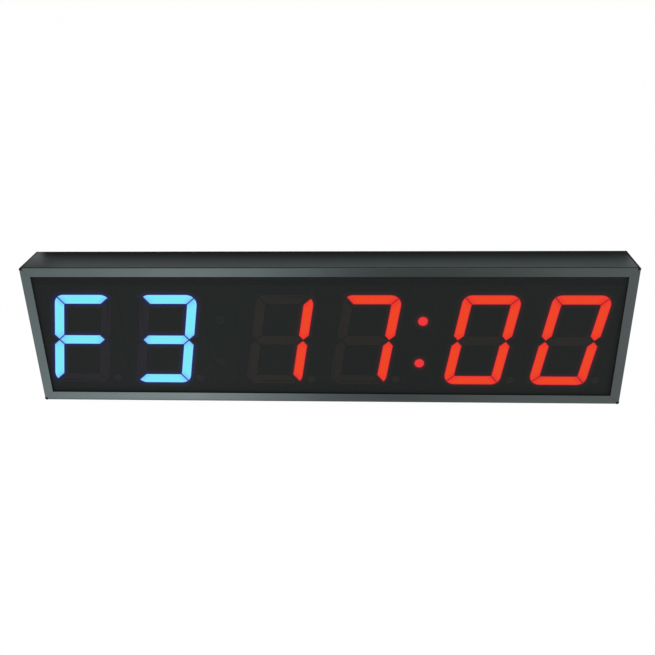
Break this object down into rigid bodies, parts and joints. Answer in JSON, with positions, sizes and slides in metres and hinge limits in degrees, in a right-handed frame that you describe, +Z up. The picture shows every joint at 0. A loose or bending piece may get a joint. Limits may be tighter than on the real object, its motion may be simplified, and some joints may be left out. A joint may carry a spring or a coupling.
{
  "type": "gym clock",
  "caption": "Wide flat wall timer in a mitred black aluminium case, with large blue and red LED digits behind a smoked window.",
  "frame": {"origin": "centre of the flat rear face that hangs against the wall", "axes": "+X to the reader's right along the clock's length, +Y into the wall, +Z up; the display faces -Y"},
  "size_m": [0.6032, 0.045, 0.1506],
  "materials": {
    "anodised_case": "satin black anodised",
    "black_plastic": "moulded, fine matte",
    "smoked_acrylic": "smoked clear sheet, gloss",
    "coated_steel": "black powder coat",
    "screw_steel": "black zinc",
    "reflector_black": "matte black",
    "blue_lens": "diffusing epoxy, lit blue",
    "red_lens": "diffusing epoxy, lit red",
    "unlit_lens": "diffusing epoxy, unlit",
    "board_green": "green solder resist on glass-fibre board",
    "chip_black": "moulded black",
    "tinned_metal": "nickel plated",
    "can_sleeve": "dark printed sleeve",
    "terminal_green": "moulded green",
    "nylon": "natural nylon",
    "ribbon_grey": "grey PVC",
    "lead_black": "black insulation",
    "lead_red": "red insulation"
  },
  "bodies": {
    "clock": {"board_support_1": "nylon", "board_support_2": "nylon", "board_support_3": "nylon", "board_support_4": "nylon", "bottom_rail": "anodised_case", "buzzer": "chip_black", "clock_crystal": "tinned_metal", "coin_cell": "tinned_metal", "coin_cell_holder": "chip_black", "colon_housing_1": "reflector_black", "colon_housing_2": "reflector_black", "colon_lens_1": "unlit_lens", "colon_lens_2": "red_lens", "control_board": "board_green", "control_header": "chip_black", "corner_key_bottom_left": "black_plastic", "corner_key_bottom_right": "black_plastic", "corner_key_top_left": "black_plastic", "corner_key_top_right": "black_plastic", "cover_screw_1": "screw_steel", "cover_screw_2": "screw_steel", "cover_screw_3": "screw_steel", "cover_screw_4": "screw_steel", "cover_screw_5": "screw_steel", "cover_screw_6": "screw_steel", "dc_jack": "black_plastic", "digit_housing_1": "reflector_black", "digit_housing_2": "reflector_black", "digit_housing_3": "reflector_black", "digit_housing_4": "reflector_black", "digit_housing_5": "reflector_black", "digit_housing_6": "reflector_black", "digit_lens_1": "blue_lens", "digit_lens_2": "blue_lens", "digit_lens_3": "red_lens", "digit_lens_4": "red_lens", "digit_lens_5": "red_lens", "digit_lens_6": "red_lens", "display_board": "board_green", "display_header": "chip_black", "front_window": "smoked_acrylic", "ir_receiver": "chip_black", "jack_lead": "lead_black", "jack_nut": "tinned_metal", "led_driver_1": "chip_black", "led_driver_2": "chip_black", "left_rail": "anodised_case", "link_lead": "lead_red", "microcontroller": "chip_black", "power_capacitor": "can_sleeve", "power_terminal": "terminal_green", "rear_cover": "coated_steel", "ribbon_cable": "ribbon_grey", "right_rail": "anodised_case", "switch_body": "black_plastic", "switch_lead": "lead_red", "top_rail": "anodised_case"},
    "rocker": {"power_rocker": "black_plastic"}
  },
  "joints": [
    {"name": "power_rocker", "type": "hinge", "parent": "clock", "child": "rocker", "pos_m": [0.299, -0.01315, 0.008], "axis": [0, 1, 0], "range_deg": [0, 20]}
  ]
}
